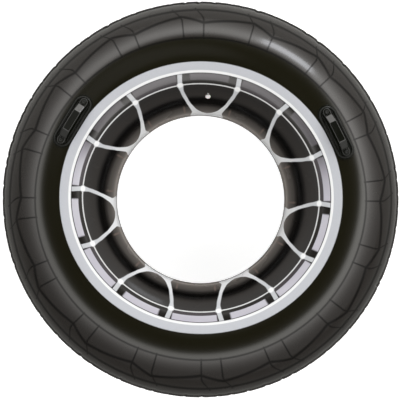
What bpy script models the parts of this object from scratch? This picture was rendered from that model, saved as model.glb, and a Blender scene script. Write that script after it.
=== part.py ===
"""Inflatable swim ring made to look like a car tyre.

Two vinyl panels welded at the outer and inner seam, two moulded grab handles on the
crest, and a push-in safety valve on the slope that faces the hole. It lies flat, in
metres, +Z up. The origin is on the floor under the middle of the ring, and the valve
is towards +Y.
"""

import math

import bmesh
import bpy
from mathutils import Matrix, Vector

# Ring
OUTER_RADIUS = 0.510  # ring's axis to the rim of the outer weld
HOLE_RADIUS = 0.215  # ring's axis to the rim of the inner weld
FLOOR_BAND = 0.030  # width that the soft tube flattens on the floor
FILM = 0.0004  # vinyl panel's wall
SEAM_WIDTH = 0.004  # how far a weld stands out of the tube
SEAM_THICKNESS = 0.0008
GAP = 0.0003  # between pieces that touch

# Grab handles
LEFT_ANGLE = 62.6  # degrees from the valve, towards -X
LEFT_OFFSET = 0.0225  # handle's centre line to the tube's crest, towards the outside
RIGHT_ANGLE = 59.5  # degrees from the valve, towards +X
RIGHT_OFFSET = 0.026
HANDLE_LENGTH = 0.151
HANDLE_WIDTH = 0.052
WELD_MARGIN = 0.005  # flat edge of the base, outside its bead
BASE_THICKNESS = 0.0014
BEAD_RADIUS = 0.002
BOSS_RADIUS = 0.009  # round foot that a grip's end is pinned to
BOSS_HEIGHT = 0.003
GRIP_WIDTH = 0.020
GRIP_THICKNESS = 0.005
GRIP_STEEP = 60.0  # degrees: the grip leaves its foot steeply
GRIP_STEEP_RUN = 0.0004  # straight run of that slope, seen from above
GRIP_GENTLE = 34.0  # degrees: the wide slope up to its flat middle
GRIP_GENTLE_RUN = 0.0177
GRIP_BEND = 0.0034  # radius of its centre line's bends
GRIP_CLEARANCE = 0.0015  # grip's end to the bead
STUD_RADIUS = 0.003
STUD_HEAD_RADIUS = 0.0056
STUD_HEAD_HEIGHT = 0.0024

# Safety valve
VALVE_TILT = 42.0  # degrees from the crest, towards the hole
BORE_RADIUS = 0.0036
STEM_WALL = 0.0016
STEM_DEPTH = 0.018  # how deep the pushed-in stem reaches
LIP_RADIUS = 0.0072
LIP_THICKNESS = 0.001
LIP_LIFT = 0.0007  # skin to the underside of the lip
BARB_HEIGHT = 0.002
BARB_STEP = 0.001  # how far the barb stands out of the stem
FLANGE_RADIUS = 0.017
FLANGE_THICKNESS = 0.001
CAP_RADIUS = 0.0065
CAP_THICKNESS = 0.0016
PLUG_LENGTH = 0.005
PLUG_PLAY = 0.0004  # plug's root to the bore
PLUG_TAPER = 0.0006
TAB_LENGTH = 0.004
TAB_WIDTH = 0.006
TAB_THICKNESS = 0.0012
TETHER_REACH = 0.0035  # cap's rim to the hinge
TETHER_WIDTH = 0.005
TETHER_THICKNESS = 0.0009
BARREL_RADIUS = 0.0011
FLAP_RADIUS = 0.0047
FLAP_THICKNESS = 0.0008

# Fineness of the faceted solids
AROUND = 60  # steps round the ring
ACROSS = 18  # steps over one panel
TURNED = 24  # steps of a small turned piece

# What follows from the sizes above
TUBE_RADIUS = (OUTER_RADIUS - HOLE_RADIUS) / 2 - SEAM_WIDTH
RING_RADIUS = (OUTER_RADIUS + HOLE_RADIUS) / 2
EQUATOR = TUBE_RADIUS  # height of both seams
STUD_AT = HANDLE_LENGTH / 2 - WELD_MARGIN - BEAD_RADIUS - GRIP_CLEARANCE - GRIP_WIDTH / 2
GRIP_FOOT = STUD_AT - BOSS_RADIUS + 0.0015
STEM_RADIUS = BORE_RADIUS + STEM_WALL
LIP_TOP = LIP_LIFT + LIP_THICKNESS
CAP_BOTTOM = LIP_TOP + GAP
HINGE_AT = CAP_RADIUS + TETHER_REACH
HINGE_HEIGHT = LIP_LIFT + LIP_THICKNESS * 0.7


# ---------------------------------------------------------------- scene and helpers


def clear_scene():
    for obj in list(bpy.data.objects):
        bpy.data.objects.remove(obj)


def new_collection(name):
    found = bpy.data.collections.new(name)
    bpy.context.scene.collection.children.link(found)
    return found


def new_material(name, colour, roughness, metallic=0.0):
    material = bpy.data.materials.new(name)
    material.use_nodes = True
    shader = material.node_tree.nodes["Principled BSDF"]
    shader.inputs["Base Color"].default_value = (*colour, 1.0)
    shader.inputs["Roughness"].default_value = roughness
    shader.inputs["Metallic"].default_value = metallic
    material.diffuse_color = (*colour, 1.0)
    return material


def new_empty(name, matrix, parent=None):
    empty = bpy.data.objects.new(name, None)
    PARTS.objects.link(empty)
    empty.parent = parent
    empty.matrix_local = matrix
    return empty


def new_piece(name, mesh, material, parent=None):
    """A sub-part: one object with its mesh, its material and what it hangs on."""
    piece = bpy.data.objects.new(name, mesh)
    PARTS.objects.link(piece)
    piece.parent = parent
    if not mesh.materials:
        mesh.materials.append(material)
    return piece


def finished_mesh(obj):
    """The object's mesh with its modifiers applied and its place kept; the object is removed."""
    bpy.context.view_layer.update()
    graph = bpy.context.evaluated_depsgraph_get()
    mesh = bpy.data.meshes.new_from_object(obj.evaluated_get(graph), depsgraph=graph)
    mesh.transform(obj.matrix_world)
    bm = bmesh.new()
    bm.from_mesh(mesh)
    bmesh.ops.remove_doubles(bm, verts=bm.verts, dist=1e-6)
    bm.to_mesh(mesh)
    bm.free()
    bpy.data.objects.remove(obj)
    return mesh


def helper(name, mesh):
    """An object that only cuts or joins, kept out of the render."""
    obj = bpy.data.objects.new(name, mesh)
    CUTTERS.objects.link(obj)
    obj.hide_render = True
    obj.display_type = "WIRE"
    return obj


def combined(mesh, operation, *others):
    """The mesh after a Boolean with each of the other meshes, which are used up."""
    base = helper("base", mesh)
    tools = [helper("tool", other) for other in others]
    for tool in tools:
        cut = base.modifiers.new(operation, "BOOLEAN")
        cut.operation = operation
        cut.object = tool
    result = finished_mesh(base)
    for tool in tools:
        bpy.data.objects.remove(tool)
    return result


def primitive(name, make, matrix, **sizes):
    """A mesh from one of bmesh's primitives, put in place by matrix."""
    mesh = bpy.data.meshes.new(name)
    bm = bmesh.new()
    make(bm, matrix=matrix, **sizes)
    bmesh.ops.recalc_face_normals(bm, faces=bm.faces)
    bm.to_mesh(mesh)
    bm.free()
    return mesh


def box(name, low, high):
    """A block between two corners."""
    size = Vector(high) - Vector(low)
    middle = (Vector(high) + Vector(low)) / 2
    place = Matrix.Translation(middle) @ Matrix.Diagonal((*size, 1.0))
    return primitive(name, bmesh.ops.create_cube, place, size=1.0)


def cylinder(name, radius, low, high, x=0.0, tip_radius=None, turn=None):
    """A round bar from low to high along Z, at x. It narrows to tip_radius, and turn rotates it."""
    place = Matrix.Translation((x, 0, (low + high) / 2))
    if turn is not None:
        place = place @ turn
    top = radius if tip_radius is None else tip_radius
    return primitive(
        name,
        bmesh.ops.create_cone,
        place,
        cap_ends=True,
        segments=TURNED,
        radius1=radius,
        radius2=top,
        depth=high - low,
    )


def turned(name, outline, steps, closed=True):
    """A profile of (radius, height) points, with a Screw modifier that turns it round Z."""
    mesh = bpy.data.meshes.new(name)
    bm = bmesh.new()
    corners = [bm.verts.new((radius, 0, height)) for radius, height in outline]
    for first, second in zip(corners, corners[1:]):
        bm.edges.new((first, second))
    if closed:
        bm.edges.new((corners[-1], corners[0]))
    bm.to_mesh(mesh)
    bm.free()
    obj = bpy.data.objects.new(name, mesh)
    screw = obj.modifiers.new("turn", "SCREW")
    screw.axis = "Z"
    screw.angle = math.tau
    screw.steps = steps
    screw.render_steps = steps
    screw.use_merge_vertices = True
    screw.merge_threshold = 1e-6
    screw.use_smooth_shade = steps == AROUND
    return obj


def turned_mesh(name, outline, closed=True):
    """The finished mesh of a small turned piece."""
    obj = turned(name, outline, TURNED, closed)
    CUTTERS.objects.link(obj)
    return finished_mesh(obj)


def on_tube(point, lift):
    """The place on the tube's skin that is nearest to a point, lifted off it."""
    ring = Vector((point.x, point.y, 0)).normalized() * RING_RADIUS
    ring.z = EQUATOR
    return ring + (point - ring).normalized() * (TUBE_RADIUS + lift)


def frame_of(origin, along, up):
    """The matrix whose X is along, whose Z is up, and whose origin is given."""
    axes = Matrix((along, up.cross(along), up)).transposed()
    return Matrix.Translation(origin) @ axes.to_4x4()


# ---------------------------------------------------------------- vinyl tube


def panel_outline(side):
    """One panel's section, from seam to seam. Side is 1 for the upper panel and -1 for the lower.

    The upper one runs from the inner seam over the crest, and the lower one from the outer
    seam under the tube, where it lies flat on the floor."""
    start = math.asin(GAP / 2 / TUBE_RADIUS)
    flat = math.asin(FLOOR_BAND / 2 / TUBE_RADIUS) if side < 0 else 0.0
    runs = ((start, math.pi / 2 - flat), (math.pi / 2 + flat, math.pi - start))
    points = []
    for low, high in runs:
        for step in range(ACROSS // 2 + 1):
            angle = low + (high - low) * step * 2 / ACROSS
            across = RING_RADIUS + TUBE_RADIUS * math.cos(angle)
            up = EQUATOR + side * TUBE_RADIUS * math.sin(angle)
            if not points or (Vector((across, up)) - Vector(points[-1])).length > GAP:
                points.append((across, up))
    return points if side < 0 else points[::-1]


def make_panel(name, side, material):
    """A panel of film, as a turned surface with the film's wall inside it."""
    outline = panel_outline(side)
    if side < 0:
        stretch = EQUATOR / (EQUATOR - min(height for _, height in outline))
        outline = [(across, EQUATOR - (EQUATOR - height) * stretch) for across, height in outline]
    panel = turned(name, outline, AROUND, closed=False)
    panel.data.materials.append(material)
    wall = panel.modifiers.new("film", "SOLIDIFY")
    wall.thickness = FILM
    wall.offset = -1
    PARTS.objects.link(panel)
    return panel


def make_seam(name, inner, outer, material):
    """A weld: both panels' margins fused to one flat ring between two radii."""
    top = EQUATOR + SEAM_THICKNESS / 2
    bottom = EQUATOR - SEAM_THICKNESS / 2
    outline = [(inner, top), (outer, top), (outer, bottom), (inner, bottom)]
    seam = turned(name, outline, AROUND)
    seam.data.materials.append(material)
    PARTS.objects.link(seam)


# ---------------------------------------------------------------- grab handles


def handle_frame(angle, offset):
    """A handle's place, at an angle clockwise from +Y: X is along the ring, Z out of the skin."""
    turn = Matrix.Rotation(-math.radians(angle), 4, "Z")
    lean = math.asin(offset / TUBE_RADIUS)
    up = Vector((0, math.sin(lean), math.cos(lean)))
    ring = Vector((0, RING_RADIUS, EQUATOR))
    return turn @ frame_of(ring + up * TUBE_RADIUS, Vector((1, 0, 0)), up)


def laid(point, lift, offset):
    """A point of the flat handle, laid on the tube's skin, in the handle's own frame."""
    frame = handle_frame(0, offset)
    return frame.inverted() @ on_tube(frame @ point, lift)


def half_width(share, length, width):
    """(place along, half width there) of a stadium outline, for a share of its half length."""
    end = width / 2
    straight = length / 2 - end
    bend = 0.5  # share of the half length that goes to the round end's steps
    if abs(share) <= 1 - bend:
        return share / (1 - bend) * straight, end
    angle = (abs(share) - 1 + bend) / bend * math.pi / 2
    along = math.copysign(straight + end * math.sin(angle), share)
    return along, end * math.cos(angle)


def laid_plate(name, length, width, low, high, offset):
    """A stadium-shaped plate that follows the tube's skin, between two heights above it."""
    bm = bmesh.new()
    bmesh.ops.create_grid(bm, x_segments=16, y_segments=5, size=1.0)
    for vert in bm.verts:
        along, half = half_width(vert.co.x, length, width)
        vert.co = Vector((along, vert.co.y * half, 0))
    bmesh.ops.remove_doubles(bm, verts=bm.verts, dist=1e-6)
    bottom = list(bm.verts)
    lifted = bmesh.ops.extrude_face_region(bm, geom=list(bm.faces))
    top = [item for item in lifted["geom"] if isinstance(item, bmesh.types.BMVert)]
    for vert in bottom:
        vert.co = laid(vert.co.copy(), low, offset)
    for vert in top:
        vert.co = laid(vert.co.copy(), high, offset)
    bmesh.ops.recalc_face_normals(bm, faces=bm.faces)
    mesh = bpy.data.meshes.new(name)
    bm.to_mesh(mesh)
    bm.free()
    return mesh


def stadium_outline(length, width, steps):
    """The outline of a stadium, as a list of (along, across), with steps in each quarter of it."""
    quarter = [half_width(k / steps, length, width) for k in range(steps + 1)]
    upper = [(-along, half) for along, half in reversed(quarter[1:])] + quarter
    return upper + [(along, -half) for along, half in reversed(upper[1:-1])]


def curve_mesh(name, curve, points):
    """The mesh of a curve object with one closed line of corners."""
    spline = curve.splines.new("POLY")
    spline.points.add(len(points) - 1)
    spline.use_cyclic_u = True
    for corner, point in zip(spline.points, points):
        corner.co = (*point, 1.0)
    obj = bpy.data.objects.new(name, curve)
    CUTTERS.objects.link(obj)
    return finished_mesh(obj)


def extruded(name, points, half_depth):
    """A flat outline in X and Y, filled and extruded both ways along Z."""
    curve = bpy.data.curves.new(name, "CURVE")
    curve.dimensions = "2D"
    curve.fill_mode = "BOTH"
    curve.extrude = half_depth
    return curve_mesh(name, curve, [(x, y, 0) for x, y in points])


def laid_bead(name, length, width, lift, offset):
    """A round bead along a stadium outline on the tube's skin."""
    curve = bpy.data.curves.new(name, "CURVE")
    curve.dimensions = "3D"
    curve.bevel_depth = BEAD_RADIUS
    curve.bevel_resolution = 1
    outline = stadium_outline(length, width, 12)
    points = [laid(Vector((*place, 0)), lift, offset) for place in outline]
    return curve_mesh(name, curve, points)


def boss_base(offset):
    """Height of the laid base's top where a boss stands."""
    return laid(Vector((STUD_AT, 0, 0)), GAP + BASE_THICKNESS, offset).z


def handle_base_mesh(offset):
    """The moulded base: a welded plate, its bead, and the two bosses for the grip."""
    top = GAP + BASE_THICKNESS
    plate = laid_plate("plate", HANDLE_LENGTH, HANDLE_WIDTH, GAP, top, offset)
    inset = 2 * (WELD_MARGIN + BEAD_RADIUS)
    lift = 2 * GAP + BEAD_RADIUS
    bead = laid_bead("bead", HANDLE_LENGTH - inset, HANDLE_WIDTH - inset, lift, offset)
    low = boss_base(offset) - BASE_THICKNESS / 2
    high = boss_base(offset) + BOSS_HEIGHT
    bosses = [
        cylinder("boss", BOSS_RADIUS, low, high, x=side * STUD_AT) for side in (-1, 1)
    ]
    return combined(plate, "UNION", bead, *bosses)


def grip_line():
    """The grip's centre line from a foot up to the flat middle: bends and straight slopes, as
    points of (distance from the middle, height over the foot, lean)."""
    along, height, lean = GRIP_FOOT, 0.0, 0.0
    line = [(along, height, lean)]
    slopes = ((GRIP_STEEP, GRIP_STEEP_RUN), (GRIP_GENTLE, GRIP_GENTLE_RUN), (0.0, 0.0))
    for slope, run in slopes:
        start, turn = lean, math.radians(slope) - lean
        for step in range(1, 5):
            last, lean = lean, start + turn * step / 4
            along -= GRIP_BEND * abs(math.sin(lean) - math.sin(last))
            height += GRIP_BEND * abs(math.cos(lean) - math.cos(last))
            line.append((along, height, lean))
        if run:
            along -= run
            height += run * math.tan(lean)
            line.append((along, height, lean))
    return line


def grip_outline(floor):
    """The grip's side view: its bent centre line, offset by half its thickness both ways."""
    line = [(STUD_AT + GRIP_WIDTH, 0.0, 0.0), *grip_line()]
    line = [(-along, height, lean) for along, height, lean in line] + [
        (along, height, -lean) for along, height, lean in reversed(line)
    ]
    middle = floor + GRIP_THICKNESS / 2
    sides = {1: [], -1: []}
    for along, height, lean in line:
        for side, points in sides.items():
            offset = side * GRIP_THICKNESS / 2
            up = middle + height + offset * math.cos(lean)
            points.append((along - offset * math.sin(lean), up))
    return sides[1] + sides[-1][::-1]


def grip_mesh(offset):
    """The soft bridge to hold on to: a strap bent up between two pinned round ends."""
    floor = boss_base(offset) + BOSS_HEIGHT + GAP
    strap = extruded("strap", grip_outline(floor), GRIP_WIDTH)
    strap.transform(Matrix.Rotation(math.pi / 2, 4, "X"))
    length = 2 * STUD_AT + GRIP_WIDTH
    stadium = extruded("stadium", stadium_outline(length, GRIP_WIDTH, 12), length / 2)
    low = floor - GRIP_THICKNESS
    high = floor + 2 * GRIP_THICKNESS
    eyes = [
        cylinder("eye", STUD_RADIUS + GAP, low, high, x=side * STUD_AT)
        for side in (-1, 1)
    ]
    return combined(combined(strap, "INTERSECT", stadium), "DIFFERENCE", *eyes)


def stud_mesh(offset):
    """A moulded pin: its shank goes through the grip's eye, and its domed head holds the grip."""
    floor = boss_base(offset) + BOSS_HEIGHT + GAP
    under = floor + GRIP_THICKNESS + GAP
    dome = [
        (
            STUD_HEAD_RADIUS * math.sin(math.pi / 2 * k / 4),
            under + STUD_HEAD_HEIGHT * (1 + math.cos(math.pi / 2 * k / 4)) / 2,
        )
        for k in range(5)
    ]
    return turned_mesh(
        "stud",
        [*dome, (STUD_HEAD_RADIUS, under), (STUD_RADIUS, under), (STUD_RADIUS, floor), (0, floor)],
    )


def make_handle(side, angle, offset, material, stud_material):
    """A handle on its own empty: the base, the grip, and the studs that pin it near and far
    from the valve."""
    frame = new_empty(f"{side}_handle", handle_frame(angle, offset))
    new_piece(f"{side}_handle_base", handle_base_mesh(offset), material, frame)
    new_piece(f"{side}_grip", grip_mesh(offset), material, frame)
    stud = stud_mesh(offset)
    far = math.copysign(STUD_AT, angle)
    for end, along in (("near", -far), ("far", far)):
        pin = new_piece(f"{side}_stud_{end}", stud, stud_material, frame)
        pin.location.x = along


# ---------------------------------------------------------------- safety valve


def valve_frame():
    """The valve's place: Z out of the skin, X up the slope to the crest, origin on the skin."""
    lean = math.radians(VALVE_TILT)
    up = Vector((0, -math.sin(lean), math.cos(lean)))
    ring = Vector((0, RING_RADIUS, EQUATOR))
    along = Vector((0, math.cos(lean), math.sin(lean)))
    return frame_of(ring + up * TUBE_RADIUS, along, up)


def cut_valve_hole(panel, frame):
    """The hole in the upper panel that the stem goes through."""
    hole = helper("valve_hole", cylinder("valve_hole", STEM_RADIUS + 2 * GAP, -0.01, 0.01))
    hole.matrix_world = frame.matrix_world
    cut = panel.modifiers.new("valve hole", "BOOLEAN")
    cut.operation = "DIFFERENCE"
    cut.object = hole


def flange_mesh():
    """The disc inside the panel that guides the stem. It lies clear of the panel's facets."""
    flat_side = TUBE_RADIUS * math.cos(math.pi / 2 / ACROSS) - FILM - GAP
    dip = (RING_RADIUS - TUBE_RADIUS * math.sin(math.radians(VALVE_TILT))) * (
        1 - math.cos(math.pi / AROUND)
    )
    top = math.sqrt(flat_side**2 - FLANGE_RADIUS**2) - dip - TUBE_RADIUS
    bottom = top - FLANGE_THICKNESS
    inner = STEM_RADIUS + GAP
    return turned_mesh(
        "flange", [(inner, top), (FLANGE_RADIUS, top), (FLANGE_RADIUS, bottom), (inner, bottom)]
    )


def stem_mesh():
    """The tube to blow into. Its lip lies on the skin, and its barb stops it at the flange."""
    barb = STEM_RADIUS + BARB_STEP
    barb_top = BARB_HEIGHT - STEM_DEPTH
    body = turned_mesh(
        "stem",
        [
            (BORE_RADIUS, LIP_TOP),
            (LIP_RADIUS, LIP_TOP),
            (LIP_RADIUS, LIP_LIFT),
            (STEM_RADIUS, LIP_LIFT),
            (STEM_RADIUS, barb_top + BARB_STEP),
            (barb, barb_top),
            (barb, -STEM_DEPTH),
            (BORE_RADIUS, -STEM_DEPTH),
        ],
    )
    inner = (LIP_RADIUS + STEM_RADIUS) / 2
    outer = HINGE_AT - BARREL_RADIUS - GAP
    skim = LIP_THICKNESS / 10
    lug = box(
        "lug",
        (inner, -TETHER_WIDTH / 2, LIP_LIFT + skim),
        (outer, TETHER_WIDTH / 2, LIP_TOP - skim),
    )
    return combined(body, "UNION", lug)


def cap_mesh():
    """The stopper: a round head, a tapered plug below it, and a tab to pull it by."""
    root = BORE_RADIUS - PLUG_PLAY
    tip = root - PLUG_TAPER
    top = CAP_BOTTOM + CAP_THICKNESS
    head = turned_mesh(
        "cap",
        [
            (0, top),
            (CAP_RADIUS, top),
            (CAP_RADIUS, CAP_BOTTOM),
            (root, CAP_BOTTOM),
            (tip, CAP_BOTTOM - PLUG_LENGTH),
            (0, CAP_BOTTOM - PLUG_LENGTH),
        ],
    )
    skim = (CAP_THICKNESS - TAB_THICKNESS) / 2
    tab = box(
        "tab",
        (-CAP_RADIUS - TAB_LENGTH, -TAB_WIDTH / 2, CAP_BOTTOM + skim),
        (-CAP_RADIUS / 2, TAB_WIDTH / 2, CAP_BOTTOM + skim + TAB_THICKNESS),
    )
    return combined(head, "UNION", tab)


def tether_mesh():
    """The strap that keeps the cap: it starts at the cap's rim and ends in the hinge's barrel."""
    across = Matrix.Rotation(math.pi / 2, 4, "X")
    low = HINGE_HEIGHT - TETHER_WIDTH / 2
    high = HINGE_HEIGHT + TETHER_WIDTH / 2
    barrel = cylinder("barrel", BARREL_RADIUS, low, high, x=HINGE_AT, turn=across)
    rim = math.sqrt(CAP_RADIUS**2 - (TETHER_WIDTH / 2) ** 2)
    strap = box(
        "strap",
        (rim, -TETHER_WIDTH / 2 + GAP, CAP_BOTTOM),
        (HINGE_AT, TETHER_WIDTH / 2 - GAP, CAP_BOTTOM + TETHER_THICKNESS),
    )
    clear = cylinder(
        "clear", CAP_RADIUS + GAP, CAP_BOTTOM - GAP, CAP_BOTTOM + CAP_THICKNESS + GAP
    )
    return combined(combined(barrel, "UNION", strap), "DIFFERENCE", clear)


def moved(mesh, along, up):
    """The mesh with its origin at a point of the valve's frame."""
    mesh.transform(Matrix.Translation((-along, 0, -up)))
    return mesh


def make_valve(panel, clear_vinyl, white_vinyl):
    """Flange on the panel, stem on its slide, cap and tether on their hinge, flap on its own."""
    seat = new_empty("valve_seat", valve_frame())
    bpy.context.view_layer.update()
    cut_valve_hole(panel, seat)
    new_piece("valve_flange", flange_mesh(), clear_vinyl, seat)
    new_piece("valve_stem", stem_mesh(), clear_vinyl, seat)
    hinge = new_empty("cap_hinge", Matrix.Translation((HINGE_AT, 0, HINGE_HEIGHT)), seat)
    new_piece("valve_cap", moved(cap_mesh(), HINGE_AT, HINGE_HEIGHT), white_vinyl, hinge)
    new_piece("cap_tether", moved(tether_mesh(), HINGE_AT, HINGE_HEIGHT), white_vinyl, hinge)
    top = -STEM_DEPTH - GAP
    flap_hinge = new_empty("flap_hinge", Matrix.Translation((FLAP_RADIUS, 0, top)), seat)
    flap = cylinder("flap", FLAP_RADIUS, top - FLAP_THICKNESS, top)
    new_piece("check_flap", moved(flap, FLAP_RADIUS, top), clear_vinyl, flap_hinge)


# ---------------------------------------------------------------- the ring


clear_scene()
PARTS = new_collection("tyre_swim_ring")
CUTTERS = new_collection("cutters")

black_vinyl = new_material("black_vinyl", (0.045, 0.042, 0.040), 0.38)
weld_vinyl = new_material("weld_vinyl", (0.030, 0.029, 0.028), 0.45)
handle_vinyl = new_material("handle_vinyl", (0.012, 0.013, 0.011), 0.32)
stud_vinyl = new_material("stud_vinyl", (0.022, 0.024, 0.021), 0.30)
clear_vinyl = new_material("clear_vinyl", (0.72, 0.74, 0.74), 0.20)
white_vinyl = new_material("white_vinyl", (0.90, 0.90, 0.88), 0.28)

upper = make_panel("upper_skin", 1, black_vinyl)
make_panel("lower_skin", -1, black_vinyl)
make_seam("outer_seam", OUTER_RADIUS - SEAM_WIDTH + GAP, OUTER_RADIUS, weld_vinyl)
make_seam("inner_seam", HOLE_RADIUS, HOLE_RADIUS + SEAM_WIDTH - GAP, weld_vinyl)
make_handle("left", -LEFT_ANGLE, LEFT_OFFSET, handle_vinyl, stud_vinyl)
make_handle("right", RIGHT_ANGLE, RIGHT_OFFSET, handle_vinyl, stud_vinyl)
make_valve(upper, clear_vinyl, white_vinyl)
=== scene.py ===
import math
import random

import bmesh
import bpy
import numpy as np
from mathutils import Matrix, Vector


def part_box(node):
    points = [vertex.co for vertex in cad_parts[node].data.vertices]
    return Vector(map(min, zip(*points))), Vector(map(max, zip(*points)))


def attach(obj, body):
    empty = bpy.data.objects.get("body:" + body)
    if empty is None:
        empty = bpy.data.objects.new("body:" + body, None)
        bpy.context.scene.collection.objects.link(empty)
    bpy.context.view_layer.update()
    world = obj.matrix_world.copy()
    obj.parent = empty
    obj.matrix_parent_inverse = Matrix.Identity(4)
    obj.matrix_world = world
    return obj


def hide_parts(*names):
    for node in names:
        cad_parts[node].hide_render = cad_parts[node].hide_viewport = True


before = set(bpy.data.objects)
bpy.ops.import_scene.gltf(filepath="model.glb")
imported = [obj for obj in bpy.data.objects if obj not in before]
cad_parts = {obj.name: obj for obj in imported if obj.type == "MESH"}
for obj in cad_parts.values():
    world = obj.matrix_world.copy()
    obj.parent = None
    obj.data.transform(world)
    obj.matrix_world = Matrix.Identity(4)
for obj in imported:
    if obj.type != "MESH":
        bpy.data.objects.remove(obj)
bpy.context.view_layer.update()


# ---- Upper panel ---------------------------------------------------------------------
# A flat ring of black vinyl film, welded at both edges to the one under it and blown up
# round. A tyre and an alloy wheel with seven round windows are printed on its back, and a
# hole is cut in it for the valve.

panel_low, panel_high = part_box("upper_skin")
_, lower_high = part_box("lower_skin")
crest_height = panel_high.z
seam_height = (panel_low.z + lower_high.z) / 2
tube_radius = crest_height - seam_height
ring_radius = panel_high.x - tube_radius
film = 0.0004

# The outer edge has more film than the round tube needs, so it gathers in short creases
# there, while the inner edge is pulled smooth. Each row is a crease's angle round the ring
# in degrees, depth in metres, half width and length in degrees, and lean to one side.
crease_count = 76
creases = random.Random(11)
crease_rows = [
    (
        360 / crease_count * (k + creases.uniform(-0.32, 0.32)),
        creases.uniform(0.0006, 0.0026),
        creases.uniform(0.22, 0.45),
        creases.uniform(5.0, 16.0),
        creases.uniform(-1.0, 1.0),
    )
    for k in range(crease_count)
]


def gathering(angle, tube):
    """How far the film is pinched in and pushed up by the creases at a place on the ring.

    Both angles are in degrees: round the ring clockwise from +Y, and round the tube from
    the outer seam. A crease is deepest at the seam and fades out along its own length."""
    swell_width, swell_length, swell_share = 2.0, 1.4, 0.12
    pinched = np.zeros(np.broadcast(angle, tube).shape)
    pushed = np.zeros(pinched.shape)
    for at, depth, width, length, lean in crease_rows:
        slant = lean * np.abs(tube) / 12
        away = (angle - at - slant + 180) % 360 - 180
        along = np.abs(tube) / length
        opened = width * (1 + 1.6 * along)
        dent = np.exp(-((away / opened) ** 2)) * np.exp(-(along**2))
        swell = np.exp(-((away / swell_width) ** 2)) * np.exp(-((along / swell_length) ** 2))
        pinched += depth * (dent - swell_share * swell)
        pushed += 0.25 * depth * lean * swell
    return pinched, pushed


def on_ring(angle, tube):
    """Points of the film as arrays of x, y and z. Tube is 0 at the outer seam, 90 at the crest."""
    pinched, pushed = gathering(angle, tube)
    slack = 0.0006 * np.sin(np.radians(angle * 9)) * np.sin(np.radians(tube)) ** 2
    reach = tube_radius - pinched + slack
    across = ring_radius + reach * np.cos(np.radians(tube))
    height = seam_height + reach * np.sin(np.radians(tube)) + pushed
    turn = np.radians(angle)
    return across * np.sin(turn), across * np.cos(turn), height


def grid_faces(columns, rows, tubed=False):
    """The faces of a grid of points numbered row by row, closed round its columns. A tubed
    grid also joins its last row to its first."""
    for row in range(rows if tubed else rows - 1):
        low, high = row * columns, (row + 1) % rows * columns
        for column in range(columns):
            beside = (column + 1) % columns
            yield (low + column, low + beside, high + beside, high + column)


def new_piece(name, points, faces):
    """A smooth-shaded mesh object."""
    mesh = bpy.data.meshes.new(name)
    mesh.from_pydata([tuple(point) for point in points], [], list(faces))
    mesh.validate()
    bm = bmesh.new()
    bm.from_mesh(mesh)
    bmesh.ops.recalc_face_normals(bm, faces=bm.faces)
    bm.to_mesh(mesh)
    bm.free()
    mesh.shade_smooth()
    piece = bpy.data.objects.new(name, mesh)
    bpy.context.scene.collection.objects.link(piece)
    return piece


def with_modifiers_applied(piece):
    """Gives the piece the mesh that its modifiers make."""
    bpy.context.view_layer.update()
    graph = bpy.context.evaluated_depsgraph_get()
    made = bpy.data.meshes.new_from_object(piece.evaluated_get(graph), depsgraph=graph)
    piece.modifiers.clear()
    piece.data = made


def film_panel(name, tubes, settle=0.0):
    """One panel of film between the two seams. Settle flattens it on the floor."""
    crease_steps = (-1.0, -0.5, -0.25, 0, 0.25, 0.5, 1.0)
    closest = 0.12
    near = [at + step for at, *_ in crease_rows for step in crease_steps]
    spread = [360 / crease_count * (k + share) for k in range(crease_count) for share in (0.3, 0.7)]
    around = np.unique(np.round(np.mod(near + spread, 360), 2))
    around = around[np.append(np.diff(around) > closest, True)]
    angle, tube = np.meshgrid(around, np.array(tubes))
    x, y, z = on_ring(angle, tube)
    if settle:
        below = (seam_height - z) * seam_height / (seam_height - settle)
        z = np.maximum(seam_height - below, film)
    points = np.stack([x, y, z], axis=-1).reshape(-1, 3)
    panel = new_piece(name, points, grid_faces(len(around), len(tubes)))
    wall = panel.modifiers.new("film", "SOLIDIFY")
    wall.thickness = film
    wall.offset = -1
    with_modifiers_applied(panel)
    return panel


# The print is behind the film's clear face, so it has no relief of its own. Both panels
# carry the tyre's blocks as soft dark lines, and only the upper one carries the wheel.


def calc(tree, operation, *values):
    """A Math node. Each value is a number or a socket."""
    node = tree.nodes.new("ShaderNodeMath")
    node.operation = operation
    for socket, value in zip(node.inputs, values):
        if isinstance(value, bpy.types.NodeSocket):
            tree.links.new(value, socket)
        else:
            socket.default_value = value
    return node.outputs[0]


def ramp(tree, value, start, end, low=0.0, high=1.0):
    """Goes smoothly from low to high while the value goes from start to end."""
    node = tree.nodes.new("ShaderNodeMapRange")
    node.interpolation_type = "SMOOTHSTEP"
    tree.links.new(value, node.inputs["Value"])
    node.inputs["From Min"].default_value = start
    node.inputs["From Max"].default_value = end
    node.inputs["To Min"].default_value = low
    node.inputs["To Max"].default_value = high
    return node.outputs["Result"]


def curve(tree, value, points, start, end, low, high):
    """A drawn curve through (value, result) points, which lie between the limits given."""
    share = calc(tree, "DIVIDE", calc(tree, "SUBTRACT", value, start), end - start)
    node = tree.nodes.new("ShaderNodeFloatCurve")
    tree.links.new(share, node.inputs["Value"])
    line = node.mapping.curves[0]
    places = [((v - start) / (end - start), (r - low) / (high - low)) for v, r in points]
    line.points[0].location, line.points[1].location = places[0], places[-1]
    for place in places[1:-1]:
        line.points.new(*place)
    node.mapping.update()
    return calc(tree, "MULTIPLY_ADD", node.outputs["Value"], high - low, low)


def between(tree, value, start, end, soft):
    """1 where the value is between start and end, with soft edges."""
    rise = ramp(tree, value, start - soft, start + soft)
    fall = ramp(tree, value, end - soft, end + soft, 1.0, 0.0)
    return calc(tree, "MULTIPLY", rise, fall)


def all_of(tree, *masks):
    """Where every mask is 1."""
    result = masks[0]
    for mask in masks[1:]:
        result = calc(tree, "MULTIPLY", result, mask)
    return result


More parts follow.
